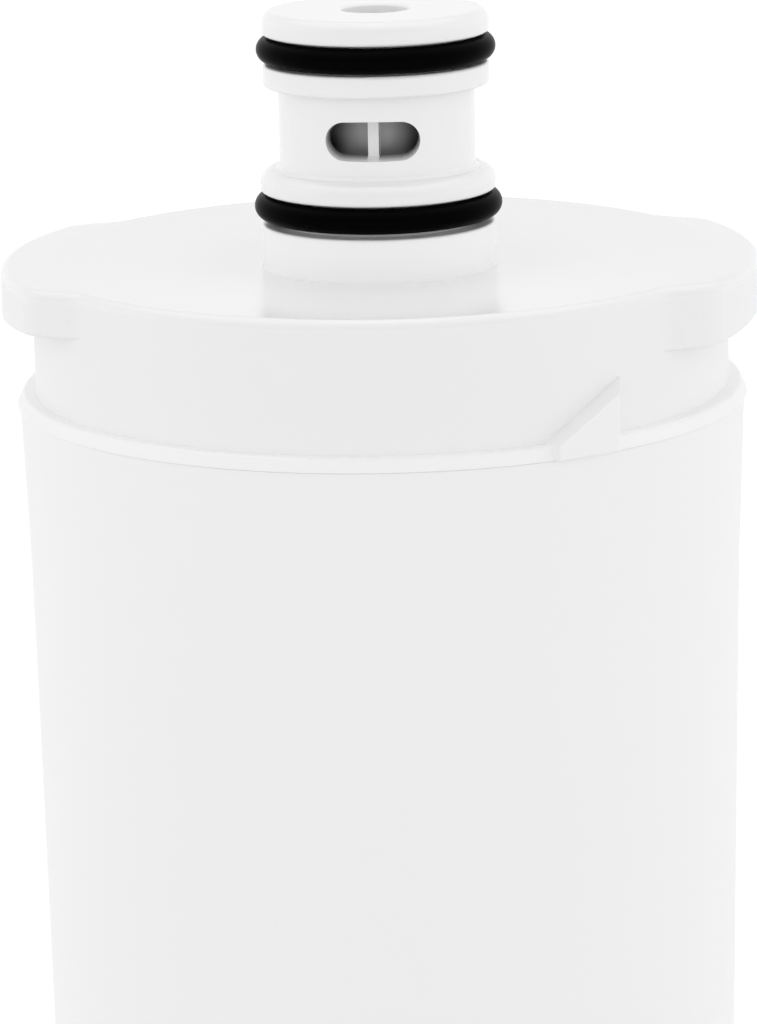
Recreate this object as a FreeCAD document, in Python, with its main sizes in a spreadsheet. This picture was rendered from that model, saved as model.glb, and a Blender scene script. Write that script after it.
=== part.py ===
import FreeCAD, Part
import math
import os
import re
import Sketcher
from FreeCAD import Placement, Rotation, Vector

# Fridge water filter cartridge: a tapered cup closed by a welded cap. The cap carries two bayonet lugs and a
# spigot with two seals. Water enters through the spigot's side ports, passes inwards through the carbon block
# and leaves through the hole on top.
#
# +Z is up and the origin is the middle of the base. The side ports face -Y and +Y, the lugs +X and -X.
# Lengths are in millimetres and angles in degrees.

SIZES = {
    # housing
    "housing_height": 145.85,  # base to the seam
    "housing_top_radius": 37.7,  # where the taper meets the seam
    "housing_draft": 1.7,  # how much smaller the radius is at the base
    "lip_flare": 0.35,  # how far the housing widens at the seam beyond its taper
    "lip_height": 18.0,
    "housing_wall": 2.6,
    "housing_floor": 3.0,
    "base_edge_round": 4.0,
    "floor_round": 2.0,
    "seam_chamfer": 0.15,
    # cap: crown, skirt and the bead at the seam
    "cap_height": 14.75,  # seam to the rim
    "skirt_inset": 1.3,  # from the top of the housing's taper
    "rim_round": 0.9,
    "rim_land": 0.05,  # flat crest between the rim's round and the dish
    "dish_depth": 1.05,
    "crown_thickness": 3.0,
    "bead_overhang": 0.25,  # beyond the housing's lip
    "bead_height": 1.3,
    "bead_draft": 0.6,  # how much smaller the bead's radius is at its top
    "bead_round": 0.3,
    "weld_ring_depth": 7.0,
    "weld_ring_wall": 2.2,
    "weld_clearance": 0.15,
    # cap: bayonet lugs
    "lug_reach": 3.2,  # beyond the skirt
    "lug_half_angle": 28.7,  # at the lug radius
    "lug_end_slant": 8.65,  # how much wider a lug is where its ends run into the skirt
    "lug_thickness": 5.6,  # at the middle of a lug
    "lug_lead": 2.5,  # slope of the underside
    "lug_corner_round": 4.0,
    "lug_root_round": 4.0,
    "lug_edge_round": 0.4,
    # cap: ramps that stop the turn
    "ramp_angle": 35.8,  # from a port round to the middle of a ramp
    "ramp_length": 9.0,
    "ramp_low_end": 1.4,
    "ramp_headroom": 1.3,  # high end to the lowest place under a lug
    "ramp_reach": 2.5,  # beyond the skirt
    "ramp_edge_round": 0.3,
    # spigot, from the rim up
    "stem_height": 3.5,
    "stem_radius": 12.25,
    "stem_draft": 0.05,  # how much wider the stem is at its foot
    "collar_height": 2.35,
    "collar_land": 0.05,  # level ring between the collar's round and the neck's foot
    "neck_height": 8.7,
    "neck_inset": 2.05,  # from the stem's outside
    "neck_wall": 2.5,
    "neck_foot_round": 0.6,
    "flange_height": 2.25,
    "nose_height": 2.45,
    "nose_round": 1.1,
    "spigot_inset": 0.5,  # from the stem's outside
    "groove_edge_round": 0.3,
    "outlet_radius": 3.5,
    "outlet_edge_round": 0.25,
    "tube_wall": 2.0,
    "port_width": 10.0,  # both measured level with the neck's front
    "port_height": 4.1,
    "port_draft": 7.0,  # slope of each side, so that a port narrows inwards
    "port_drop": 0.25,  # below the middle of the neck
    "web_thickness": 1.1,
    "web_bite": 0.4,  # how far a web is let into the neck's wall
    # seals on the spigot
    "seal_section": 2.65,
    "seal_clearance": 0.05,
    "groove_depth": 2.03,
    "lower_gap_below": 0.5,
    "lower_gap_above": 0.2,
    "upper_gap_below": 0.2,
    "upper_gap_above": 0.2,
    # socket under the cap and the nipple that plugs into it
    "inlet_gap": 4.0,
    "socket_radius": 6.0,
    "socket_wall": 1.8,
    "socket_depth": 9.0,
    "seat_gap": 0.4,
    "nipple_clearance": 0.15,
    "nipple_bore_radius": 2.9,
    "nipple_seal_section": 1.8,
    "nipple_groove_slack": 0.4,
    # filter element
    "flow_gap": 2.8,  # end cap to the housing's wall
    "fit_gap": 0.1,
    "end_cap_thickness": 2.5,
    "end_cap_rim_wall": 1.2,
    "end_cap_rim_height": 6.0,
    "end_cap_plug_height": 4.0,
    "core_radius": 9.5,
    "wrap_thickness": 1.0,
    "strand_thickness": 0.8,
    "strand_width": 1.6,
    "net_rings": 9,
    "net_bars": 12,
    "foot_height": 4.0,
    "foot_thickness": 2.4,
    "foot_inset": 4.0,
    "foot_count": 4,
}

# Heights and radii that follow from the sizes above, each in terms of those sizes and the lines before it.
LEVELS = {
    "housing_base_radius": "housing_top_radius - housing_draft",
    "skirt_radius": "housing_top_radius - skirt_inset",
    "lip_radius": "housing_top_radius + lip_flare",
    "lip_foot": "housing_height - lip_height",
    "lip_foot_radius": "housing_top_radius - housing_draft * lip_height / housing_height",
    "bead_radius": "lip_radius + bead_overhang",
    "bead_top_radius": "bead_radius - bead_draft",
    "lug_radius": "skirt_radius + lug_reach",
    "lug_root_half_angle": "lug_half_angle + lug_end_slant",
    "cap_top": "housing_height + cap_height",
    "bead_top": "housing_height + bead_height",
    "dish_floor": "cap_top - dish_depth",
    "crown_under": "dish_floor - crown_thickness",
    "weld_ring_end": "housing_height - weld_ring_depth",
    "crest_radius": "skirt_radius - rim_round - rim_land",
    "root_radius": "skirt_radius - rim_round / 2",
    "lug_root_half_chord": "root_radius * sin(lug_root_half_angle * 1 deg)",
    "lug_half_chord": "max(lug_root_half_chord; lug_radius * sin(lug_half_angle * 1 deg))",
    "lug_rise": "lug_half_chord * tan(lug_lead * 1 deg)",
    "lug_lowest": "cap_top - lug_thickness - lug_rise",
    "lug_highest": "cap_top - lug_thickness + lug_rise",
    "ramp_top": "lug_lowest - ramp_headroom",
    "ramp_slope": "(ramp_top - housing_height - ramp_low_end) / ramp_length",
    "ramp_face": "skirt_radius + ramp_reach",
    "ramp_end": "skirt_radius * sin(ramp_angle * 1 deg) + ramp_length / 2 * cos(ramp_angle * 1 deg)",
    "stem_foot_radius": "stem_radius + stem_draft",
    "neck_radius": "stem_radius - neck_inset",
    "spigot_radius": "stem_radius - spigot_inset",
    "collar_round": "neck_inset - neck_foot_round - collar_land",
    "stem_top": "cap_top + stem_height",
    "lower_seal_middle": "stem_top + lower_gap_below + seal_section / 2",
    "lower_groove_top": "lower_seal_middle + seal_section / 2 + lower_gap_above",
    "neck_foot": "lower_groove_top + collar_height",
    "neck_top": "neck_foot + neck_height",
    "upper_groove_foot": "neck_top + flange_height",
    "upper_seal_middle": "upper_groove_foot + upper_gap_below + seal_section / 2",
    "upper_groove_top": "upper_seal_middle + seal_section / 2 + upper_gap_above",
    "spigot_top": "upper_groove_top + nose_height",
    "port_middle": "neck_foot + neck_height / 2 - port_drop",
    "socket_roof": "crown_under - inlet_gap",
    "socket_shoulder": "socket_roof - socket_wall",
    "socket_end": "socket_shoulder - socket_depth",
    "nipple_top": "socket_shoulder - seat_gap",
    "upper_end_cap_top": "socket_end - seat_gap",
    "nipple_middle": "(nipple_top + upper_end_cap_top) / 2",
    "nipple_groove_half": "(nipple_seal_section + nipple_groove_slack) / 2",
    "block_top": "upper_end_cap_top - end_cap_thickness",
    "lower_end_cap_foot": "housing_floor + foot_height",
    "block_foot": "lower_end_cap_foot + end_cap_thickness",
    "block_length": "block_top - block_foot",
    "housing_taper": "housing_draft / (housing_height - housing_floor)",
    "bore_at_weld_ring_end": "housing_top_radius - housing_wall - housing_taper * weld_ring_depth",
    "weld_ring_radius": "bore_at_weld_ring_end - weld_clearance",
    "cap_bore_radius": "weld_ring_radius - weld_ring_wall",
    "lower_groove_radius": "stem_radius - groove_depth",
    "upper_groove_radius": "spigot_radius - groove_depth",
    "chamber_radius": "neck_radius - neck_wall",
    "tube_radius": "outlet_radius + tube_wall",
    "port_end_depth": "sqrt(chamber_radius ^ 2 - (port_width / 2) ^ 2)",
    "port_floor": "(tube_radius + port_end_depth) / 2",
    "port_taper": "(neck_radius - port_floor) * tan(port_draft * 1 deg)",
    "port_inner_half_width": "port_width / 2 - port_taper",
    "port_inner_half_height": "port_height / 2 - port_taper",
    "socket_outer_radius": "socket_radius + socket_wall",
    "nipple_radius": "socket_radius - nipple_clearance",
    "nipple_seal_radius": "socket_radius - seal_clearance - nipple_seal_section / 2",
    "nipple_groove_radius": "nipple_seal_radius - nipple_seal_section / 2 - seal_clearance",
    "end_cap_radius": "housing_base_radius - housing_wall - flow_gap",
    "rim_bore_radius": "end_cap_radius - end_cap_rim_wall",
    "net_outer_radius": "rim_bore_radius - fit_gap",
    "bar_inner_radius": "net_outer_radius - strand_thickness",
    "net_inner_radius": "bar_inner_radius - strand_thickness / 2",
    "wrap_outer_radius": "net_inner_radius - fit_gap",
    "wrap_inner_radius": "wrap_outer_radius - wrap_thickness",
    "block_radius": "wrap_inner_radius - fit_gap",
    "plug_radius": "core_radius - fit_gap",
}

NEAR = 1e-4  # two places closer than this are the same
PAIR = "2"  # lugs, ramps, ports and webs come in twos, half a turn apart

doc = FreeCAD.newDocument("filter_cartridge")
dims = doc.addObject("Spreadsheet::Sheet", "dims")
for row, (name, value) in enumerate(SIZES.items(), start=1):
    dims.set(f"A{row}", name)
    dims.set(f"B{row}", str(value))
    dims.setAlias(f"B{row}", name)
for row, (name, formula) in enumerate(LEVELS.items(), start=len(SIZES) + 2):
    dims.set(f"A{row}", name)
    dims.set(f"B{row}", "=" + formula)
    dims.setAlias(f"B{row}", name)
doc.recompute()


def number(expression):
    """Value of an expression on the sheet's names."""
    value = dims.evalExpression(expression)
    return float(getattr(value, "Value", value))


def bind(item, path, expression):
    """Ties one property of item to an expression on the sheet's names."""
    def on_sheet(word):
        return f"dims.{word.group()}" if word.group() in SIZES or word.group() in LEVELS else word.group()

    item.setExpression(path, re.sub(r"[a-z_]+", on_sheet, expression))


def origin_feature(body, role):
    """Origin plane or axis of a body."""
    return next(feature for feature in body.Origin.OriginFeatures if feature.Role == role)


def new_body(label):
    """Empty body with the sub-part's own name."""
    body = doc.addObject("PartDesign::Body", label)
    body.Label = label
    return body


def new_sketch(body, name, role):
    """Sketch on one of the body's origin planes."""
    sketch = body.newObject("Sketcher::SketchObject", name)
    sketch.AttachmentSupport = [(origin_feature(body, role), "")]
    sketch.MapMode = "FlatFace"
    return sketch


def hold(sketch, kind, geometry, point, expression):
    """Keeps a point at a signed distance from the sketch's origin, or on its axis where that is zero."""
    axis = {"DistanceX": -2, "DistanceY": -1}[kind]
    if expression == "0":
        sketch.addConstraint(Sketcher.Constraint("PointOnObject", geometry, point, axis))
        return
    value = number(expression)
    index = sketch.addConstraint(Sketcher.Constraint(kind, -1, 1, geometry, point, value))
    bind(sketch, f"Constraints[{index}]", expression)


def draw_polygon(sketch, corners):
    """Closed outline through corners, each an (across, up) pair of expressions."""
    points = [Vector(number(across), number(up), 0) for across, up in corners]
    count = len(points)
    first = sketch.GeometryCount
    for index, point in enumerate(points):
        sketch.addGeometry(Part.LineSegment(point, points[(index + 1) % count]))
    for index, (across, up) in enumerate(corners):
        following = first + (index + 1) % count
        sketch.addConstraint(Sketcher.Constraint("Coincident", first + index, 2, following, 1))
        hold(sketch, "DistanceX", first + index, 1, across)
        hold(sketch, "DistanceY", first + index, 1, up)


def draw_circle(sketch, radius):
    """Circle about the sketch's origin."""
    index = sketch.addGeometry(Part.Circle(Vector(), Vector(0, 0, 1), number(radius)))
    sketch.addConstraint(Sketcher.Constraint("Coincident", index, 3, -1, 1))
    constraint = sketch.addConstraint(Sketcher.Constraint("Radius", index, number(radius)))
    bind(sketch, f"Constraints[{constraint}]", radius)


def revolve(body, name, corners):
    """Turned shape: a half section, drawn as (radius, height) pairs, carried once round the Z axis."""
    sketch = new_sketch(body, name + "_section", "XZ_Plane")
    draw_polygon(sketch, corners)
    turned = body.newObject("PartDesign::Revolution", name)
    turned.Profile = sketch
    turned.ReferenceAxis = (sketch, ["V_Axis"])
    turned.Angle = 360
    return turned


def pad(body, name, sketch, length, backwards=False):
    """Straight pad of a sketch."""
    block = body.newObject("PartDesign::Pad", name)
    block.Profile = sketch
    block.Reversed = backwards
    bind(block, "Length", length)
    return block


def pocket(body, name, sketch, length, backwards=False, draft="0 deg"):
    """Cut of a sketch, which widens along its way by a draft and has to take material away."""
    doc.recompute()
    before = body.Shape.Volume
    cut = body.newObject("PartDesign::Pocket", name)
    cut.Profile = sketch
    cut.Reversed = backwards
    bind(cut, "Length", length)
    bind(cut, "TaperAngle", draft)
    doc.recompute()
    if not before - body.Shape.Volume > NEAR:
        raise RuntimeError(f"{name} cuts nothing")
    return cut


def polar(body, name, originals, count):
    """Copies of features spread evenly round the Z axis."""
    pattern = body.newObject("PartDesign::PolarPattern", name)
    pattern.Originals = originals
    pattern.Axis = (origin_feature(body, "Z_Axis"), [""])
    pattern.Angle = 360
    bind(pattern, "Occurrences", count)
    body.Tip = pattern
    doc.recompute()
    return pattern


def round_edges(body, name, radius, wanted):
    """Rounds the edges of the body so far for which wanted(edge) is true."""
    doc.recompute()
    base = body.Tip
    edges = [f"Edge{i}" for i, edge in enumerate(base.Shape.Edges, start=1) if wanted(edge)]
    if not edges:
        raise RuntimeError(f"{name} finds no edge")
    rounded = body.newObject("PartDesign::Fillet", name)
    rounded.Base = (base, edges)
    bind(rounded, "Radius", radius)
    doc.recompute()
    if "Invalid" in rounded.State:
        raise RuntimeError(f"{name} can't be rounded")
    return rounded


def ring_at(radius, height):
    """Test for a circular edge about the Z axis."""
    wanted_radius, wanted_height = number(radius), number(height)

    def wanted(edge):
        curve = edge.Curve
        if not isinstance(curve, Part.Circle):
            return False
        centre = Vector(0, 0, wanted_height)
        return abs(curve.Radius - wanted_radius) < NEAR and curve.Center.distanceToPoint(centre) < NEAR

    return wanted


def any_of(*tests):
    """Test that passes where one of several tests does."""
    return lambda edge: any(test(edge) for test in tests)


def distance_from_axis(point):
    """Distance of a point from the Z axis."""
    return math.hypot(point.x, point.y)


def make_housing():
    """Tapered cup with a flat closed base, a slightly flared lip and a small chamfer at the seam."""
    body = new_body("housing")
    revolve(body, "cup", [
        ("0", "0"),
        ("housing_base_radius", "0"),
        ("lip_foot_radius", "lip_foot"),
        ("lip_radius", "housing_height - seam_chamfer"),
        ("lip_radius - seam_chamfer", "housing_height"),
        ("housing_top_radius - housing_wall", "housing_height"),
        ("housing_base_radius - housing_wall", "housing_floor"),
        ("0", "housing_floor"),
    ])
    round_edges(body, "base_edge", "base_edge_round", ring_at("housing_base_radius", "0"))
    floor_corner = ring_at("housing_base_radius - housing_wall", "housing_floor")
    round_edges(body, "floor_corner", "floor_round", floor_corner)
    return body


def draw_lug_arc(sketch, radius, half_angle):
    """Arc about the sketch's origin, spread evenly to both sides of its X axis."""
    half = math.radians(number(half_angle))
    circle = Part.Circle(Vector(), Vector(0, 0, 1), number(radius))
    arc = sketch.addGeometry(Part.ArcOfCircle(circle, -half, half))
    sketch.addConstraint(Sketcher.Constraint("Coincident", arc, 3, -1, 1))
    sketch.addConstraint(Sketcher.Constraint("Symmetric", arc, 1, arc, 2, -1))
    index = sketch.addConstraint(Sketcher.Constraint("Radius", arc, number(radius)))
    bind(sketch, f"Constraints[{index}]", radius)
    hold(sketch, "DistanceY", arc, 2, f"{radius} * sin({half_angle} * 1 deg)")
    return arc


def draw_lug_plan(sketch):
    """Plan of the +X lug: an outer arc and a wider root arc inside the skirt, joined by slanted ends."""
    outer = draw_lug_arc(sketch, "lug_radius", "lug_half_angle")
    root = draw_lug_arc(sketch, "root_radius", "lug_root_half_angle")
    for end in (1, 2):
        slant = Part.LineSegment(sketch.getPoint(outer, end), sketch.getPoint(root, end))
        line = sketch.addGeometry(slant)
        sketch.addConstraint(Sketcher.Constraint("Coincident", line, 1, outer, end))
        sketch.addConstraint(Sketcher.Constraint("Coincident", line, 2, root, end))


def add_lugs(body):
    """Two bayonet lugs flush with the rim, whose undersides climb like a coarse thread."""
    plan = new_sketch(body, "lug_plan", "XY_Plane")
    bind(plan, "AttachmentOffset.Base.z", "cap_top")
    draw_lug_plan(plan)
    blank = pad(body, "lug_blank", plan, "lug_thickness + lug_rise", backwards=True)
    side = new_sketch(body, "lug_underside", "YZ_Plane")
    draw_polygon(side, [
        ("-lug_half_chord", "housing_height"),
        ("lug_half_chord", "housing_height"),
        ("lug_half_chord", "lug_highest"),
        ("-lug_half_chord", "lug_lowest"),
    ])
    slope = pocket(body, "lug_slope", side, "lug_radius", backwards=True)
    polar(body, "lug_pair", [blank, slope], PAIR)


def add_ramps(body):
    """Two wedges that stand square on the skirt, each cut upright, along Y, at its high end."""
    side = new_sketch(body, "ramp_side", "XZ_Plane")
    side.AttachmentOffset = Placement(Vector(), Rotation(Vector(0, 1, 0), number("ramp_angle")))
    bind(side, "AttachmentOffset.Rotation.Angle", "ramp_angle * 1 deg")
    bind(side, "AttachmentOffset.Base.x", "root_radius * sin(ramp_angle * 1 deg)")
    bind(side, "AttachmentOffset.Base.z", "root_radius * cos(ramp_angle * 1 deg)")
    low, past_end = "-ramp_length / 2", "ramp_length"
    rise = f"({past_end} - ({low})) * ramp_slope"
    draw_polygon(side, [
        (low, "housing_height"),
        (past_end, "housing_height"),
        (past_end, f"housing_height + ramp_low_end + {rise}"),
        (low, "housing_height + ramp_low_end"),
    ])
    wedge = pad(body, "ramp_wedge", side, "ramp_face - root_radius")
    end = new_sketch(body, "ramp_upright_end", "XY_Plane")
    bind(end, "AttachmentOffset.Base.z", "housing_height")
    draw_polygon(end, [
        ("ramp_end", "-lug_radius"),
        ("ramp_end + lug_radius", "-lug_radius"),
        ("ramp_end + lug_radius", "0"),
        ("ramp_end", "0"),
    ])
    cut = pocket(body, "ramp_end_cut", end, "cap_height", backwards=True)
    polar(body, "ramp_pair", [wedge, cut], PAIR)


def draw_oblong(sketch, half_width, half_height, middle):
    """Slot with round ends, level, centred across the sketch at a given height."""
    radius = number(half_height)
    up = Vector(0, radius, 0)
    reach = f"{half_width} - {half_height}"
    right, left = (Vector(side * number(reach), number(middle), 0) for side in (1, -1))
    quarter = math.pi / 2
    axis = Vector(0, 0, 1)
    right_end = sketch.addGeometry(Part.ArcOfCircle(Part.Circle(right, axis, radius), -quarter, quarter))
    top = sketch.addGeometry(Part.LineSegment(right + up, left + up))
    left_end = sketch.addGeometry(Part.ArcOfCircle(Part.Circle(left, axis, radius), quarter, 3 * quarter))
    bottom = sketch.addGeometry(Part.LineSegment(left - up, right - up))
    outline = [right_end, top, left_end, bottom]
    for before, after in zip(outline, outline[1:] + outline[:1]):
        sketch.addConstraint(Sketcher.Constraint("Tangent", before, 2, after, 1))
    index = sketch.addConstraint(Sketcher.Constraint("Radius", right_end, radius))
    bind(sketch, f"Constraints[{index}]", half_height)
    for end, across in ((right_end, reach), (left_end, f"-({reach})")):
        hold(sketch, "DistanceX", end, 3, across)
        hold(sketch, "DistanceY", end, 3, middle)


def add_ports(body):
    """Two oblong ports that narrow inwards, through the neck into the chamber round the centre tube."""
    sketch = new_sketch(body, "port_outline", "XZ_Plane")
    bind(sketch, "AttachmentOffset.Base.z", "port_floor")
    draw_oblong(sketch, "port_inner_half_width", "port_inner_half_height", "port_middle")
    cut = pocket(body, "port", sketch, "neck_radius - port_floor", backwards=True, draft="port_draft * 1 deg")
    polar(body, "port_pair", [cut], PAIR)


def add_webs(body):
    """Two upright webs that carry the centre tube in the chamber, each behind the middle of a port."""
    sketch = new_sketch(body, "web_plan", "XY_Plane")
    bind(sketch, "AttachmentOffset.Base.z", "crown_under")
    draw_polygon(sketch, [
        ("-web_thickness / 2", "-(chamber_radius + web_bite)"),
        ("web_thickness / 2", "-(chamber_radius + web_bite)"),
        ("web_thickness / 2", "-(tube_radius - tube_wall / 2)"),
        ("-web_thickness / 2", "-(tube_radius - tube_wall / 2)"),
    ])
    web = pad(body, "web", sketch, "neck_top - crown_under")
    polar(body, "web_pair", [web], PAIR)


def upright_at(radius, lowest):
    """Test for an edge parallel to Z, at a distance from the axis and above a height."""
    wanted_radius, wanted_height = number(radius), number(lowest)

    def wanted(edge):
        if len(edge.Vertexes) != 2:
            return False
        foot, head = (vertex.Point for vertex in edge.Vertexes)
        upright = distance_from_axis(head - foot) < NEAR
        in_place = abs(distance_from_axis(foot) - wanted_radius) < NEAR
        return upright and in_place and min(foot.z, head.z) > wanted_height

    return wanted


def outline_at(radius, height):
    """Test for an edge whose ends are level at a height and no nearer to the axis than a radius."""
    least_radius, wanted_height = number(radius), number(height)

    def wanted(edge):
        ends = [vertex.Point for vertex in edge.Vertexes]
        level = all(abs(point.z - wanted_height) < NEAR for point in ends)
        return level and all(distance_from_axis(point) > least_radius - NEAR for point in ends)

    return wanted


def beyond(radius, lowest, highest):
    """Test for an edge whose ends are at least a radius from the axis and between two heights."""
    least_radius, bottom, top = number(radius), number(lowest), number(highest)

    def wanted(edge):
        ends = [vertex.Point for vertex in edge.Vertexes]
        outside = all(distance_from_axis(point) > least_radius - NEAR for point in ends)
        return outside and all(bottom - NEAR < point.z < top + NEAR for point in ends)

    return wanted


def round_cap(body):
    """Rounds the lugs in plan, then the rim all round, the lugs' lower edges, the ramps, the bead and the
    spigot."""
    lug_foot = "cap_top - 2 * lug_thickness"
    round_edges(body, "lug_corners", "lug_corner_round", upright_at("lug_radius", lug_foot))
    round_edges(body, "lug_roots", "lug_root_round", upright_at("skirt_radius", lug_foot))
    round_edges(body, "rim", "rim_round", outline_at("skirt_radius", "cap_top"))
    lug_under = beyond("skirt_radius + lug_reach / 4", "lug_lowest", "lug_highest")
    round_edges(body, "lug_under_edges", "lug_edge_round", lug_under)
    ramp_face = beyond("ramp_face", "housing_height", "ramp_top")
    round_edges(body, "ramp_edges", "ramp_edge_round", ramp_face)
    round_edges(body, "bead_edge", "bead_round", ring_at("bead_top_radius", "bead_top"))
    round_edges(body, "collar_edge", "collar_round", ring_at("stem_radius", "neck_foot"))
    round_edges(body, "neck_corner", "neck_foot_round", ring_at("neck_radius", "neck_foot"))
    round_edges(body, "nose_edge", "nose_round", ring_at("spigot_radius", "spigot_top"))
    round_edges(body, "groove_edges", "groove_edge_round", any_of(
        ring_at("spigot_radius", "upper_groove_top"),
        ring_at("spigot_radius", "upper_groove_foot"),
        ring_at("spigot_radius", "neck_top"),
        ring_at("stem_radius", "lower_groove_top"),
        ring_at("stem_radius", "stem_top"),
    ))
    round_edges(body, "outlet_edge", "outlet_edge_round", ring_at("outlet_radius", "spigot_top"))


def make_top_cap():
    """Cap with its lugs, ramps and spigot, and under it the weld ring and the filter element's socket."""
    body = new_body("top_cap")
    add_ramps(body)
    add_lugs(body)
    revolve(body, "crown", [
        ("outlet_radius", "spigot_top"),
        ("spigot_radius", "spigot_top"),
        ("spigot_radius", "upper_groove_top"),
        ("upper_groove_radius", "upper_groove_top"),
        ("upper_groove_radius", "upper_groove_foot"),
        ("spigot_radius", "upper_groove_foot"),
        ("spigot_radius", "neck_top"),
        ("neck_radius", "neck_top"),
        ("neck_radius", "neck_foot"),
        ("stem_radius", "neck_foot"),
        ("stem_radius", "lower_groove_top"),
        ("lower_groove_radius", "lower_groove_top"),
        ("lower_groove_radius", "stem_top"),
        ("stem_radius", "stem_top"),
        ("stem_foot_radius", "dish_floor"),
        ("crest_radius", "cap_top"),
        ("skirt_radius", "cap_top"),
        ("skirt_radius", "bead_top"),
        ("bead_top_radius", "bead_top"),
        ("bead_radius", "housing_height"),
        ("weld_ring_radius", "housing_height"),
        ("weld_ring_radius", "weld_ring_end"),
        ("cap_bore_radius", "weld_ring_end"),
        ("cap_bore_radius", "crown_under"),
        ("chamber_radius", "crown_under"),
        ("chamber_radius", "neck_top"),
        ("tube_radius", "neck_top"),
        ("tube_radius", "socket_roof"),
        ("socket_outer_radius", "socket_roof"),
        ("socket_outer_radius", "socket_end"),
        ("socket_radius", "socket_end"),
        ("socket_radius", "socket_shoulder"),
        ("outlet_radius", "socket_shoulder"),
    ])
    add_ports(body)
    add_webs(body)
    round_cap(body)
    return body


def make_seal(label, radius, section, height):
    """Rubber ring of round section about the Z axis."""
    ring = doc.addObject("Part::Torus", label)
    ring.Label = label
    bind(ring, "Radius1", radius)
    bind(ring, "Radius2", f"{section} / 2")
    bind(ring, "Placement.Base.z", height)
    return ring


def make_sleeve(label, inner, outer):
    """Plain tube as long as the carbon block."""
    body = new_body(label)
    revolve(body, label + "_tube", [
        (inner, "block_foot"),
        (outer, "block_foot"),
        (outer, "block_top"),
        (inner, "block_top"),
    ])
    return body


def make_outer_netting():
    """Net sleeve: rings up the block, half sunk into the upright bars that cross them outside."""
    body = new_body("outer_netting")
    plan = new_sketch(body, "net_ring_plan", "XY_Plane")
    bind(plan, "AttachmentOffset.Base.z", "block_foot")
    draw_circle(plan, "net_inner_radius")
    draw_circle(plan, "net_inner_radius + strand_thickness")
    ring = pad(body, "net_ring", plan, "strand_width")
    bar_plan = new_sketch(body, "net_bar_plan", "XY_Plane")
    bind(bar_plan, "AttachmentOffset.Base.z", "block_foot")
    draw_polygon(bar_plan, [
        ("bar_inner_radius", "-strand_width / 2"),
        ("net_outer_radius", "-strand_width / 2"),
        ("net_outer_radius", "strand_width / 2"),
        ("bar_inner_radius", "strand_width / 2"),
    ])
    bar = pad(body, "net_bar", bar_plan, "block_length")
    polar(body, "net_bar_circle", [bar], "net_bars")
    ladder = body.newObject("PartDesign::LinearPattern", "net_ring_ladder")
    ladder.Originals = [ring]
    ladder.Direction = (origin_feature(body, "Z_Axis"), [""])
    bind(ladder, "Length", "block_length - strand_width")
    bind(ladder, "Occurrences", "net_rings")
    body.Tip = ladder
    return body


def make_upper_end_cap():
    """Disc with a rim round the block's top, a plug in its core and a grooved nipple for the socket."""
    body = new_body("upper_end_cap")
    revolve(body, "upper_end_cap_disc", [
        ("nipple_bore_radius", "nipple_top"),
        ("nipple_radius", "nipple_top"),
        ("nipple_radius", "nipple_middle + nipple_groove_half"),
        ("nipple_groove_radius", "nipple_middle + nipple_groove_half"),
        ("nipple_groove_radius", "nipple_middle - nipple_groove_half"),
        ("nipple_radius", "nipple_middle - nipple_groove_half"),
        ("nipple_radius", "upper_end_cap_top"),
        ("end_cap_radius", "upper_end_cap_top"),
        ("end_cap_radius", "block_top - end_cap_rim_height"),
        ("rim_bore_radius", "block_top - end_cap_rim_height"),
        ("rim_bore_radius", "block_top"),
        ("plug_radius", "block_top"),
        ("plug_radius", "block_top - end_cap_plug_height"),
        ("nipple_bore_radius", "block_top - end_cap_plug_height"),
    ])
    return body


def make_lower_end_cap():
    """Closed disc with a rim round the block's bottom, a plug in its core and feet on the housing's floor."""
    body = new_body("lower_end_cap")
    revolve(body, "lower_end_cap_disc", [
        ("0", "lower_end_cap_foot"),
        ("end_cap_radius", "lower_end_cap_foot"),
        ("end_cap_radius", "block_foot + end_cap_rim_height"),
        ("rim_bore_radius", "block_foot + end_cap_rim_height"),
        ("rim_bore_radius", "block_foot"),
        ("plug_radius", "block_foot"),
        ("plug_radius", "block_foot + end_cap_plug_height"),
        ("0", "block_foot + end_cap_plug_height"),
    ])
    plan = new_sketch(body, "foot_plan", "XY_Plane")
    bind(plan, "AttachmentOffset.Base.z", "lower_end_cap_foot")
    draw_polygon(plan, [
        ("core_radius", "-foot_thickness / 2"),
        ("end_cap_radius - foot_inset", "-foot_thickness / 2"),
        ("end_cap_radius - foot_inset", "foot_thickness / 2"),
        ("core_radius", "foot_thickness / 2"),
    ])
    foot = pad(body, "foot", plan, "foot_height", backwards=True)
    polar(body, "foot_circle", [foot], "foot_count")
    return body


parts = [
    make_housing(),
    make_top_cap(),
    make_seal("upper_o_ring", "upper_groove_radius + seal_clearance + seal_section / 2", "seal_section",
              "upper_seal_middle"),
    make_seal("lower_o_ring", "lower_groove_radius + seal_clearance + seal_section / 2", "seal_section",
              "lower_seal_middle"),
    make_seal("end_cap_o_ring", "nipple_seal_radius", "nipple_seal_section", "nipple_middle"),
    make_sleeve("carbon_block", "core_radius", "block_radius"),
    make_sleeve("prefilter_wrap", "wrap_inner_radius", "wrap_outer_radius"),
    make_outer_netting(),
    make_upper_end_cap(),
    make_lower_end_cap(),
]
doc.recompute()
for item in doc.Objects:
    if "Invalid" in item.State or "Error" in item.State:
        raise RuntimeError(f"{item.Name} failed: {item.State}")
for part in parts:
    if part.Shape.isNull() or not part.Shape.isValid():
        raise RuntimeError(f"{part.Label} has no valid shape")

os.makedirs("parts", exist_ok=True)
for part in parts:
    part.Shape.exportStep(f"parts/{part.Label}.step")
    print(part.Label, "solids", len(part.Shape.Solids), "volume", round(part.Shape.Volume, 1))
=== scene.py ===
import math

import bpy
from mathutils import Matrix, Vector


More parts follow.
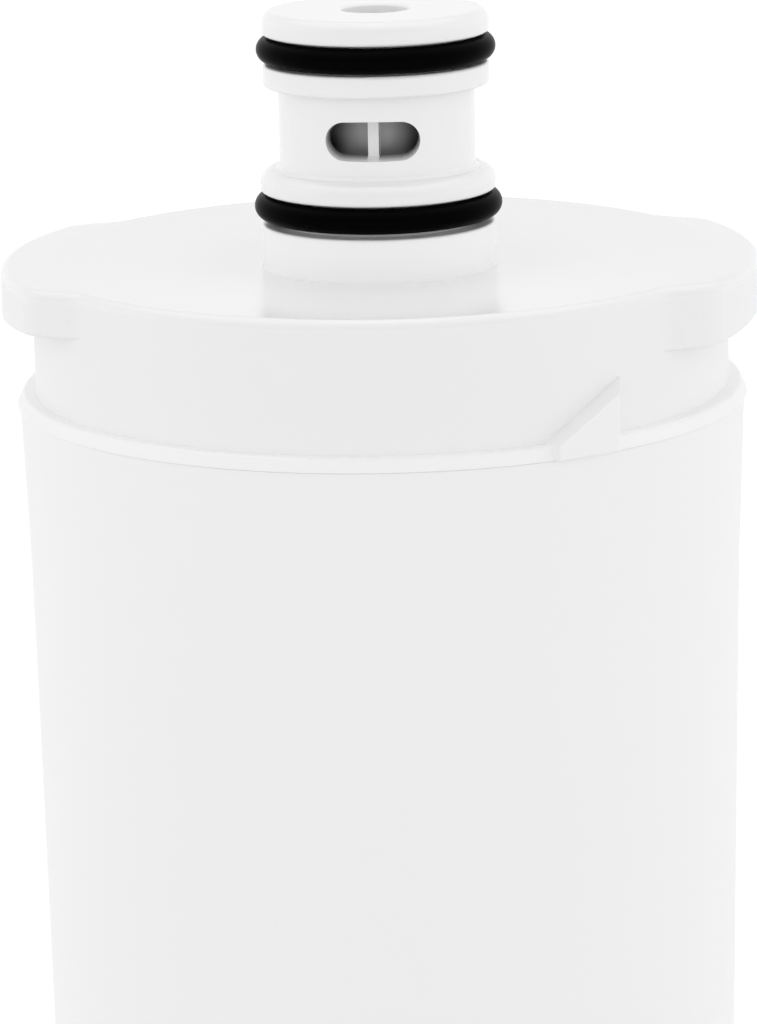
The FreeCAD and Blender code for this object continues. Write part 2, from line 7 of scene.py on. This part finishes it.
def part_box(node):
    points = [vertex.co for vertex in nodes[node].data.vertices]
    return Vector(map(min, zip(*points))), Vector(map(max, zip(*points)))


# Fridge water filter cartridge: white moulded cup and cap, black rubber seals, on a white table.
# Lengths are in metres. +Z is up, the side ports face -Y and +Y, the lugs +X and -X.

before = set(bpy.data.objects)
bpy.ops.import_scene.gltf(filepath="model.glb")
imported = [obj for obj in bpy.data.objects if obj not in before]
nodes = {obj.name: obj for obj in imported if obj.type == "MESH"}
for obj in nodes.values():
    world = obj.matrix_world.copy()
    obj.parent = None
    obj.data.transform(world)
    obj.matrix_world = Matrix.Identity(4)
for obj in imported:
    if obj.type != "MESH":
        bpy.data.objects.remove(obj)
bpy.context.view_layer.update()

MM = 0.001

# Heights and radii of the cap, from the top of its spigot and from the seam.
SPIGOT_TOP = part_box("top_cap")[1].z
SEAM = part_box("housing")[1].z
RIM = SPIGOT_TOP - 25.65 * MM
STEM_TOP = RIM + 3.5 * MM
NECK_FOOT = RIM + 9.2 * MM
NECK_TOP = RIM + 17.9 * MM
PORT_MIDDLE = RIM + 13.3 * MM
BEAD_HEIGHT = 1.3 * MM
RAMP_HEIGHT = 7.2 * MM
LUG_RADIUS = 39.6 * MM
SKIRT_RADIUS = 36.4 * MM
BEAD_RADIUS = 38.3 * MM
STEM_RADIUS = 12.25 * MM
NECK_RADIUS = 10.2 * MM
WEB_RADIUS = 8.1 * MM
CHAMBER_RADIUS = 7.7 * MM
TUBE_RADIUS = 5.5 * MM
BORE_RADIUS = 3.5 * MM
WEB_HALF = 0.55 * MM

# Zones of painted shade and painted light in the cap's colour. Where there are two values, the zone fades
# from one to the other.
SKIN = 0.05 * MM  # how far a zone reaches past the surface that it colours
CHAMBER_FOOT = NECK_FOOT - 4.0 * MM
PORT_SIDE = (2.6 * MM, 4.6 * MM)  # outwards from the port's middle
PORT_BOTTOM = (PORT_MIDDLE - 1.8 * MM, PORT_MIDDLE + 0.3 * MM)
DISH_FOOT = RIM - 1.2 * MM
DISH_START = STEM_RADIUS - 1.0 * MM
OUTLET_FOOT = SPIGOT_TOP - 15.0 * MM
SATIN_START = SKIRT_RADIUS - 0.5 * MM
SATIN_TOP = (RIM - 1.5 * MM, RIM - 0.4 * MM)
SATIN_GAIN = 0.28  # what the roughness gains below the rim

# How much painted shade darkens and painted light brightens the cap's white, zone by zone.
# Painted shade in the chamber behind the ports: darker overall, towards the port's sides, towards its foot
# and towards the chamber's wall.
PAINTED_CHAMBER_SHADE = -0.35
PAINTED_CHAMBER_SIDE_SHADE = -0.3
PAINTED_CHAMBER_FOOT_SHADE = -0.25
PAINTED_CHAMBER_WALL_SHADE = -0.3
# Painted shade on the ports' floors and sides, darkest inwards, and a lighter painted shade on the webs in
# the ports.
PAINTED_PORT_SHADE = -0.75
PAINTED_WEB_SHADE = -0.1
# Painted light on the dish and the stem's foot, palest near the stem and fading outwards.
PAINTED_DISH_LIGHT = 0.06
# Painted light inside the outlet's bore.
PAINTED_OUTLET_LIGHT = 0.06
# Painted light on the ramps, on the bead above the seam and most of all on the bead's ledge.
PAINTED_RAMP_LIGHT = 0.02
PAINTED_BEAD_LIGHT = 0.025
PAINTED_LEDGE_LIGHT = 0.04
DARKEST = 0.02

# Colours.
PURE_WHITE = (1, 1, 1, 1)
TABLE_WHITE = (0.9, 0.9, 0.9, 1)
HOUSING_WHITE = (0.916, 0.916, 0.916, 1)
CAP_WHITE = (0.89, 0.89, 0.89, 1)
END_CAP_WHITE = (0.74, 0.74, 0.73, 1)
NET_WHITE = (0.72, 0.73, 0.72, 1)
FLEECE_WHITE = (0.8, 0.79, 0.76, 1)
CARBON_BLACK = (0.035, 0.035, 0.036, 1)
RUBBER_BLACK = (0.0012, 0.0012, 0.0012, 1)

# The camera, as fitted to the ellipses of the cap and the sides of the housing in the picture.
IMAGE_HEIGHT = 1024  # pixels
FOCAL_LENGTH = 4637.8  # pixels
SENSOR = 36.0  # millimetres, along the image's height
CAMERA_DISTANCE = 478.05 * MM
CAMERA_ABOVE_RIM = 87.96 * MM
CAMERA_ASIDE = -0.66 * MM
CAMERA_TURN = 3.0  # degrees round the cartridge from -Y towards +X
CAMERA_TILT = 13.625  # degrees down
CAMERA_ROLL = -1.15  # degrees
CLIP_START = 10 * MM

# Light: an even white studio, stronger at the horizon than above and from the sides than from the front,
# with a soft lamp overhead.
HORIZON_LIGHT = 1.36
ZENITH_LIGHT = 0.58
SIDE_GAIN = 0.16
FRONT_LOSS = 0.11
STUDIO_GLEAM = 1.06  # the studio's level in reflections
FRONT_GLOOM = 0.6  # how much darker its front is there
FRONT_EDGE = (0.1, 0.8)  # of the direction's part towards the front, from bright to dark
ZENITH_GLEAM = 1.0  # how much brighter its top is there
ZENITH_EDGE = (0.5, 0.9)  # of the direction's part upwards, from plain to bright
TABLE_HALF = 3.0
TABLE_ROUGHNESS = 0.9
TABLE_LIFT = 0.25  # what the table gains where it is seen, so that it looks white
LAMP_HEIGHT = 1.25
LAMP_SIZE = 0.4
LAMP_POWER = 0.5


def add_camera():
    """Camera at the picture's viewing angle, with its axes worked out from turn, tilt and roll."""
    turn, tilt, roll = (math.radians(angle) for angle in (CAMERA_TURN, CAMERA_TILT, CAMERA_ROLL))
    to_cartridge = Matrix.Rotation(turn, 3, "Z")
    forward = to_cartridge @ Vector((0, math.cos(tilt), -math.sin(tilt)))
    level = to_cartridge @ Vector((1, 0, 0))
    upright = level.cross(forward)
    right = math.cos(roll) * level + math.sin(roll) * upright
    up = math.cos(roll) * upright - math.sin(roll) * level
    place = to_cartridge @ Vector((CAMERA_ASIDE, -CAMERA_DISTANCE, RIM + CAMERA_ABOVE_RIM))
    data = bpy.data.cameras.new("camera")
    data.sensor_width = SENSOR
    data.lens = FOCAL_LENGTH / IMAGE_HEIGHT * SENSOR
    data.clip_start = CLIP_START
    camera = bpy.data.objects.new("camera", data)
    axes = Matrix((right, up, -forward)).transposed().to_4x4()
    camera.matrix_world = Matrix.Translation(place) @ axes
    bpy.context.scene.collection.objects.link(camera)
    bpy.context.scene.camera = camera


def plug(tree, value, socket):
    """Puts a number or colour on a socket, or links another socket to it."""
    if isinstance(value, bpy.types.NodeSocket):
        tree.links.new(value, socket)
    else:
        socket.default_value = value


def add_node(tree, kind, **sockets):
    """Node of a kind with numbers or links on the named sockets."""
    node = tree.nodes.new(kind)
    for name, value in sockets.items():
        plug(tree, value, node.inputs[name.replace("_", " ")])
    return node


def combine(tree, operation, *values):
    """Result of a Math node on numbers or sockets."""
    node = tree.nodes.new("ShaderNodeMath")
    node.operation = operation
    for socket, value in zip(node.inputs, values):
        plug(tree, value, socket)
    return node.outputs[0]


def climb(tree, value, low, high):
    """0 below low, 1 above high and a smooth step between them."""
    node = add_node(tree, "ShaderNodeMapRange", Value=value, From_Min=low, From_Max=high)
    node.interpolation_type = "SMOOTHSTEP"
    return node.outputs["Result"]


def seen_rays(tree):
    """1 for rays that show the stage itself: from the camera, in reflections and through glass. The second
    value is 1 for rays from the camera alone."""
    path = tree.nodes.new("ShaderNodeLightPath")
    mirrored = combine(tree, "MAXIMUM", path.outputs["Is Glossy Ray"], path.outputs["Is Transmission Ray"])
    return combine(tree, "MAXIMUM", path.outputs["Is Camera Ray"], mirrored), path.outputs["Is Camera Ray"]


def add_world():
    """White studio. The camera sees it white, and reflections show a dim front and a bright top.
    The light from a direction x, y, z is horizon + (zenith - horizon) * max(z, 0),
    times 1 + side gain * x^2 - front loss * min(y, 0)^2."""
    world = bpy.data.worlds.new("studio")
    world.use_nodes = True
    tree = world.node_tree
    tree.nodes.clear()
    direction = tree.nodes.new("ShaderNodeTexCoord").outputs["Generated"]
    axes = add_node(tree, "ShaderNodeSeparateXYZ", Vector=direction)
    sides = combine(tree, "MULTIPLY", axes.outputs["X"], axes.outputs["X"])
    front = combine(tree, "MAXIMUM", combine(tree, "MULTIPLY", axes.outputs["Y"], -1.0), 0.0)
    lit = combine(tree, "MULTIPLY_ADD", sides, SIDE_GAIN, 1.0)
    lit = combine(tree, "MULTIPLY_ADD", combine(tree, "MULTIPLY", front, front), -FRONT_LOSS, lit)
    upward = combine(tree, "MAXIMUM", axes.outputs["Z"], 0.0)
    height = combine(tree, "MULTIPLY_ADD", upward, ZENITH_LIGHT - HORIZON_LIGHT, HORIZON_LIGHT)
    lit = combine(tree, "MULTIPLY", lit, height)
    mirrored = combine(tree, "MULTIPLY_ADD", climb(tree, front, *FRONT_EDGE), -FRONT_GLOOM, STUDIO_GLEAM)
    mirrored = combine(tree, "MULTIPLY_ADD", climb(tree, upward, *ZENITH_EDGE), ZENITH_GLEAM, mirrored)
    seen, camera = seen_rays(tree)
    shown = add_node(tree, "ShaderNodeMix", Factor=camera, A=mirrored, B=1.0).outputs["Result"]
    light = add_node(tree, "ShaderNodeBackground", Color=PURE_WHITE, Strength=lit)
    white = add_node(tree, "ShaderNodeBackground", Color=PURE_WHITE, Strength=shown)
    mix = add_node(tree, "ShaderNodeMixShader", Fac=seen)
    tree.links.new(light.outputs[0], mix.inputs[1])
    tree.links.new(white.outputs[0], mix.inputs[2])
    add_node(tree, "ShaderNodeOutputWorld", Surface=mix.outputs[0])
    bpy.context.scene.world = world


def add_lamp():
    """Soft round lamp straight above the cartridge."""
    data = bpy.data.lights.new("overhead", "AREA")
    data.shape = "DISK"
    data.size = LAMP_SIZE
    data.energy = LAMP_POWER
    lamp = bpy.data.objects.new("overhead", data)
    lamp.location = (0, 0, LAMP_HEIGHT)
    bpy.context.scene.collection.objects.link(lamp)


def new_material(name):
    """Material with a Principled BSDF, with its tree and BSDF at hand."""
    material = bpy.data.materials.new(name)
    material.use_nodes = True
    tree = material.node_tree
    return material, tree, tree.nodes["Principled BSDF"]


def add_floor():
    """White table that keeps the cartridge's shadow: a diffuse sheet, lifted where it is seen."""
    mesh = bpy.data.meshes.new("floor")
    corners = [(x * TABLE_HALF, y * TABLE_HALF, 0) for x, y in ((-1, -1), (1, -1), (1, 1), (-1, 1))]
    mesh.from_pydata(corners, [], [(0, 1, 2, 3)])
    floor = bpy.data.objects.new("floor", mesh)
    bpy.context.scene.collection.objects.link(floor)
    material, tree, surface = new_material("white_table")
    surface.inputs["Base Color"].default_value = TABLE_WHITE
    surface.inputs["Roughness"].default_value = TABLE_ROUGHNESS
    surface.inputs["Specular IOR Level"].default_value = 0.0
    surface.inputs["Emission Color"].default_value = PURE_WHITE
    seen, _ = seen_rays(tree)
    tree.links.new(combine(tree, "MULTIPLY", seen, TABLE_LIFT), surface.inputs["Emission Strength"])
    mesh.materials.append(material)


def new_group(name, inputs, outputs):
    """Empty shader node group with number sockets. Inputs come with their usual values."""
    tree = bpy.data.node_groups.new(name, "ShaderNodeTree")
    for socket, value in inputs.items():
        item = tree.interface.new_socket(name=socket, in_out="INPUT", socket_type="NodeSocketFloat")
        item.default_value = value
    for socket in outputs:
        tree.interface.new_socket(name=socket, in_out="OUTPUT", socket_type="NodeSocketFloat")
    source = tree.nodes.new("NodeGroupInput")
    return tree, source.outputs, tree.nodes.new("NodeGroupOutput").inputs


def noise(tree, scale, detail=2.0, stretch=None):
    """Noise from 0 to 1 on Object coordinates, which may be stretched along the axes first."""
    place = tree.nodes.new("ShaderNodeTexCoord").outputs["Object"]
    if stretch:
        place = add_node(tree, "ShaderNodeMapping", Vector=place, Scale=stretch).outputs["Vector"]
    return add_node(tree, "ShaderNodeTexNoise", Vector=place, Scale=scale, Detail=detail).outputs["Fac"]


def about(tree, value, middle, spread):
    """middle + spread * (2 * value - 1): a 0 to 1 pattern laid round a middle."""
    reach = combine(tree, "MULTIPLY_ADD", value, 2.0, -1.0)
    return combine(tree, "MULTIPLY_ADD", reach, spread, middle)


def make_moulded_skin():
    """Skin of a moulded plastic: slow drifts of tone and gloss, and a fine orange peel."""
    tree, given, result = new_group(
        "moulded_skin", {"Mottle": 0.006, "Gloss": 0.2, "Gloss Drift": 0.03}, ["Tone", "Roughness", "Peel"])
    tone = about(tree, noise(tree, scale=26.0), middle=1.0, spread=given["Mottle"])
    roughness = about(tree, noise(tree, scale=140.0), middle=given["Gloss"], spread=given["Gloss Drift"])
    plug(tree, tone, result["Tone"])
    plug(tree, roughness, result["Roughness"])
    plug(tree, noise(tree, scale=850.0, detail=3.0), result["Peel"])
    return tree


def make_ring_zone():
    """1 in a ring about the Z axis between two radii and two heights, and 0 elsewhere. Outward climbs in the
    ring from 0 at its inner radius to 1 at its outer one."""
    tree, given, result = new_group(
        "ring_zone", {"Inner": 0.0, "Outer": 0.01, "Foot": 0.0, "Top": 1.0}, ["Inside", "Outward"])
    place = tree.nodes.new("ShaderNodeTexCoord").outputs["Object"]
    axes = add_node(tree, "ShaderNodeSeparateXYZ", Vector=place).outputs
    radius = combine(tree, "SQRT", combine(tree, "ADD", combine(tree, "MULTIPLY", axes["X"], axes["X"]),
                                           combine(tree, "MULTIPLY", axes["Y"], axes["Y"])))
    between = combine(tree, "MULTIPLY", combine(tree, "GREATER_THAN", radius, given["Inner"]),
                      combine(tree, "LESS_THAN", radius, given["Outer"]))
    level = combine(tree, "MULTIPLY", combine(tree, "GREATER_THAN", axes["Z"], given["Foot"]),
                    combine(tree, "LESS_THAN", axes["Z"], given["Top"]))
    inside = combine(tree, "MULTIPLY", between, level)
    plug(tree, inside, result["Inside"])
    outward = combine(tree, "MULTIPLY", inside, climb(tree, radius, given["Inner"], given["Outer"]))
    plug(tree, outward, result["Outward"])
    return tree


def place_group(tree, group, **values):
    """Node that puts a group into a material with its own values."""
    node = tree.nodes.new("ShaderNodeGroup")
    node.node_tree = group
    for name, value in values.items():
        plug(tree, value, node.inputs[name.replace("_", " ")])
    return node.outputs


def tint(tree, colour, value):
    """Colour times a number."""
    node = tree.nodes.new("ShaderNodeMix")
    node.data_type = "RGBA"
    node.blend_type = "MULTIPLY"
    plug(tree, 1.0, node.inputs["Factor"])
    plug(tree, colour, node.inputs["A"])
    plug(tree, value, node.inputs["B"])
    return node.outputs["Result"]


def emboss(tree, surface, height, depth):
    """Bump of a given depth from a 0 to 1 height."""
    bump = add_node(tree, "ShaderNodeBump", Height=height, Distance=depth, Strength=1.0)
    tree.links.new(bump.outputs["Normal"], surface.inputs["Normal"])


def white_plastic(name, colour, gloss, drift, mottle, peel):
    """Moulded white plastic, whose skin the group gives."""
    material, tree, surface = new_material(name)
    skin = place_group(tree, moulded_skin, Mottle=mottle, Gloss=gloss, Gloss_Drift=drift)
    tree.links.new(skin["Roughness"], surface.inputs["Roughness"])
    emboss(tree, surface, skin["Peel"], peel)
    return material, tree, surface, tint(tree, colour, skin["Tone"])


def housing_white():
    """Satin white of the cup."""
    material, tree, surface, colour = white_plastic(
        "housing_white", HOUSING_WHITE, gloss=0.4, drift=0.04, mottle=0.005, peel=0.002 * MM)
    surface.inputs["Specular IOR Level"].default_value = 0.3
    tree.links.new(colour, surface.inputs["Base Color"])
    return material


def cap_white():
    """Glossier white of the cap, satin below the rim. Painted shade darkens it in the chamber, most of all
    at its sides and foot, and on the ports' sides, and slightly on the webs. Painted light makes it paler in
    the dish, in the outlet, on the ramps and at the seam. Each zone adds its amount to a tone of 1, which
    multiplies the colour."""
    material, tree, surface, colour = white_plastic(
        "cap_white", CAP_WHITE, gloss=0.14, drift=0.02, mottle=0.004, peel=0.001 * MM)
    place = tree.nodes.new("ShaderNodeTexCoord").outputs["Object"]
    axes = add_node(tree, "ShaderNodeSeparateXYZ", Vector=place).outputs

    def zone(inner, outer, foot, top):
        return place_group(tree, ring_zone, Inner=inner, Outer=outer, Foot=foot, Top=top)

    def product(*factors):
        return combine(tree, "MULTIPLY", *factors)

    def less(value, taken):
        return combine(tree, "SUBTRACT", value, taken)

    across = combine(tree, "ABSOLUTE", axes["X"])
    sideways = climb(tree, across, *PORT_SIDE)
    below = less(1.0, climb(tree, axes["Z"], *PORT_BOTTOM))
    off_web = combine(tree, "GREATER_THAN", across, WEB_HALF + SKIN)
    on_web = less(1.0, off_web)

    chamber = zone(TUBE_RADIUS - SKIN, CHAMBER_RADIUS + SKIN, CHAMBER_FOOT, NECK_TOP + SKIN)
    port = zone(CHAMBER_RADIUS + SKIN, NECK_RADIUS - SKIN, NECK_FOOT + SKIN, NECK_TOP - SKIN)
    web = zone(TUBE_RADIUS - SKIN, WEB_RADIUS + SKIN, CHAMBER_FOOT, NECK_TOP + SKIN)
    dish = zone(DISH_START, LUG_RADIUS, DISH_FOOT, STEM_TOP)
    outlet = zone(0.0, BORE_RADIUS + SKIN, OUTLET_FOOT, SPIGOT_TOP - SKIN)
    bead_top = SEAM + BEAD_HEIGHT
    bead = zone(SKIRT_RADIUS + SKIN, BEAD_RADIUS + SKIN, SEAM - SKIN, bead_top + SKIN)
    ledge = zone(SKIRT_RADIUS + SKIN, BEAD_RADIUS, bead_top - SKIN, bead_top + SKIN)
    ramp = zone(SKIRT_RADIUS + SKIN, LUG_RADIUS, SEAM - SKIN, SEAM + RAMP_HEIGHT)
    hollow = product(chamber["Inside"], off_web)
    tone = 1.0
    # Painted shade and painted light: the shade zones darken the cap's white and the light zones brighten
    # it, each by its amount.
    for amount, mask in (
            (PAINTED_CHAMBER_SHADE, hollow),
            (PAINTED_CHAMBER_SIDE_SHADE, product(hollow, sideways)),
            (PAINTED_CHAMBER_FOOT_SHADE, product(hollow, below)),
            (PAINTED_CHAMBER_WALL_SHADE, product(chamber["Outward"], off_web)),
            (PAINTED_PORT_SHADE, product(less(port["Inside"], port["Outward"]), off_web)),
            (PAINTED_WEB_SHADE, product(web["Inside"], on_web)),
            (PAINTED_DISH_LIGHT, less(dish["Inside"], dish["Outward"])),
            (PAINTED_OUTLET_LIGHT, outlet["Inside"]),
            (PAINTED_RAMP_LIGHT, ramp["Inside"]),
            (PAINTED_BEAD_LIGHT, bead["Inside"]),
            (PAINTED_LEDGE_LIGHT, ledge["Inside"])):
        tone = combine(tree, "MULTIPLY_ADD", mask, amount, tone)
    tone = combine(tree, "MAXIMUM", tone, DARKEST)
    tree.links.new(tint(tree, colour, tone), surface.inputs["Base Color"])

    wall = zone(SATIN_START, LUG_RADIUS + SKIN, 0.0, RIM)
    satin = product(wall["Inside"], less(1.0, climb(tree, axes["Z"], *SATIN_TOP)))
    skin_roughness = surface.inputs["Roughness"].links[0].from_socket
    roughness = combine(tree, "MULTIPLY_ADD", satin, SATIN_GAIN, skin_roughness)
    tree.links.new(roughness, surface.inputs["Roughness"])
    return material


def seal_rubber():
    """Black seal rubber with a faint bloom."""
    material, tree, surface = new_material("seal_rubber_black")
    skin = place_group(tree, moulded_skin, Mottle=0.2, Gloss=0.3, Gloss_Drift=0.06)
    tree.links.new(tint(tree, RUBBER_BLACK, skin["Tone"]), surface.inputs["Base Color"])
    tree.links.new(skin["Roughness"], surface.inputs["Roughness"])
    surface.inputs["Specular IOR Level"].default_value = 0.01
    emboss(tree, surface, skin["Peel"], depth=0.002 * MM)
    return material


def pressed_carbon():
    """Pressed carbon: dark grains about half a millimetre across, some of them glinting."""
    material, tree, surface = new_material("pressed_carbon_black")
    place = tree.nodes.new("ShaderNodeTexCoord").outputs["Object"]
    grains = add_node(tree, "ShaderNodeTexVoronoi", Vector=place, Scale=1900.0)
    shade = add_node(tree, "ShaderNodeSeparateColor", Color=grains.outputs["Color"]).outputs["Red"]
    tone = about(tree, shade, middle=1.0, spread=0.6)
    tree.links.new(tint(tree, CARBON_BLACK, tone), surface.inputs["Base Color"])
    tree.links.new(about(tree, shade, middle=0.7, spread=0.2), surface.inputs["Roughness"])
    pits = combine(tree, "MULTIPLY", grains.outputs["Distance"], -1.0)
    emboss(tree, surface, combine(tree, "ADD", pits, noise(tree, scale=400.0)), depth=0.2 * MM)
    return material


def fleece():
    """Spun fleece: pale fibres lying mostly up and down and round the sleeve."""
    material, tree, surface = new_material("fleece_white")
    upright = noise(tree, scale=900.0, detail=4.0, stretch=(1.0, 1.0, 0.08))
    level = noise(tree, scale=700.0, detail=4.0, stretch=(0.12, 0.12, 1.0))
    fibres = combine(tree, "MAXIMUM", upright, level)
    tone = about(tree, fibres, middle=0.9, spread=0.25)
    tree.links.new(tint(tree, FLEECE_WHITE, tone), surface.inputs["Base Color"])
    tree.links.new(about(tree, fibres, middle=0.88, spread=0.1), surface.inputs["Roughness"])
    surface.inputs["Sheen Weight"].default_value = 0.2
    emboss(tree, surface, fibres, depth=0.15 * MM)
    return material


def net_plastic():
    """Milky drawn plastic of the net, with fine lines along the strands."""
    material, tree, surface, colour = white_plastic(
        "net_white", NET_WHITE, gloss=0.4, drift=0.08, mottle=0.02, peel=0.005 * MM)
    lines = noise(tree, scale=1500.0, stretch=(1.0, 1.0, 0.03))
    tone = about(tree, lines, middle=0.98, spread=0.06)
    tree.links.new(tint(tree, colour, tone), surface.inputs["Base Color"])
    return material


def end_cap_plastic():
    """Plain white moulding, a little greyer and duller than the outside of the cartridge."""
    material, tree, surface, colour = white_plastic(
        "end_cap_white", END_CAP_WHITE, gloss=0.48, drift=0.06, mottle=0.015, peel=0.004 * MM)
    tree.links.new(colour, surface.inputs["Base Color"])
    return material


def finish_node(name, material):
    """Puts a material in a CAD node's slots."""
    slots = nodes[name].data.materials
    for index in range(len(slots)):
        slots[index] = material


moulded_skin = make_moulded_skin()
ring_zone = make_ring_zone()

add_camera()
add_world()
add_lamp()
add_floor()
rubber = seal_rubber()
ends = end_cap_plastic()
finish_node("housing", housing_white())
finish_node("top_cap", cap_white())
for seal in ("upper_o_ring", "lower_o_ring", "end_cap_o_ring"):
    finish_node(seal, rubber)
finish_node("carbon_block", pressed_carbon())
finish_node("prefilter_wrap", fleece())
finish_node("outer_netting", net_plastic())
for end_cap in ("upper_end_cap", "lower_end_cap"):
    finish_node(end_cap, ends)

bpy.context.scene.view_settings.view_transform = "Standard"
